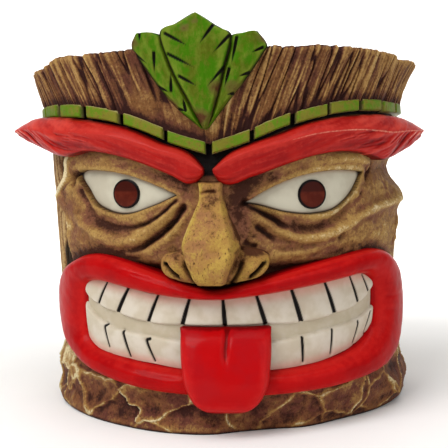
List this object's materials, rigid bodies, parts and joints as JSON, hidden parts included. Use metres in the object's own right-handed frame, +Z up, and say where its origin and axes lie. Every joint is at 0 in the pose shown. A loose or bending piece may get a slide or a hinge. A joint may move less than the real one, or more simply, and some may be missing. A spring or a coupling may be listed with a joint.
{
  "type": "tiki mug",
  "caption": "Round drinking mug carved as a grinning tiki face: red brows and lips, bared teeth, tongue out, leaves on a split-wood crown, rough rock foot.",
  "frame": {"origin": "centre of the cup's flat standing face, on the surface that the mug stands on", "axes": "+Z up along the cup's axis; the face looks along -Y; +X is to the right of someone who faces the mug"},
  "size_m": [0.1179, 0.115, 0.1008],
  "materials": {
    "inner_glaze": "dark brown gloss glaze",
    "crown_wood": "painted as split wood, dark wash with a dry-brushed tan, matte",
    "bark": "painted as carved bark, dark wash with a dry-brushed tan, matte",
    "face_skin": "painted tan over a dark brown wash, matte",
    "nose_skin": "painted ochre over a dark brown wash, matte",
    "rock": "painted as mottled rock, matte",
    "brow_red": "red paint, satin, with dark edges",
    "lip_red": "red paint under a gloss varnish",
    "tooth": "warm white under a gloss varnish, with black lines",
    "eye_white": "off-white under a gloss varnish, dark at the edge",
    "iris": "maroon brown with a black ring, gloss",
    "leaf_green": "green paint with a brown wash in the veins, satin",
    "band_green": "yellow-green paint with pale edges, satin"
  },
  "bodies": {
    "root": {"cup_body": "inner_glaze", "bark_crown": "crown_wood", "trunk_bark": "bark", "face_panel": "face_skin", "stone_foot": "rock", "brow_left": "brow_red", "brow_right": "brow_red", "eye_left": "eye_white", "eye_right": "eye_white", "iris_left": "iris", "iris_right": "iris", "nose": "nose_skin", "lips": "lip_red", "upper_teeth": "tooth", "lower_teeth_left": "tooth", "lower_teeth_right": "tooth", "tongue": "lip_red", "leaf_center": "leaf_green", "leaf_left": "leaf_green", "leaf_right": "leaf_green", "band_segment_01": "band_green", "band_segment_02": "band_green", "band_segment_03": "band_green", "band_segment_04": "band_green", "band_segment_05": "band_green", "band_segment_06": "band_green", "band_segment_07": "band_green", "band_segment_08": "band_green", "band_segment_09": "band_green", "band_segment_10": "band_green", "band_segment_11": "band_green", "band_segment_12": "band_green", "band_segment_13": "band_green", "band_segment_14": "band_green", "band_segment_15": "band_green", "band_segment_16": "band_green", "band_segment_17": "band_green", "band_segment_18": "band_green", "band_segment_19": "band_green", "band_segment_20": "band_green", "band_segment_21": "band_green", "band_segment_22": "band_green", "band_segment_23": "band_green", "band_segment_24": "band_green", "band_segment_25": "band_green", "band_segment_26": "band_green", "band_segment_27": "band_green", "band_segment_28": "band_green", "band_segment_29": "band_green", "band_segment_30": "band_green"}
  },
  "joints": []
}
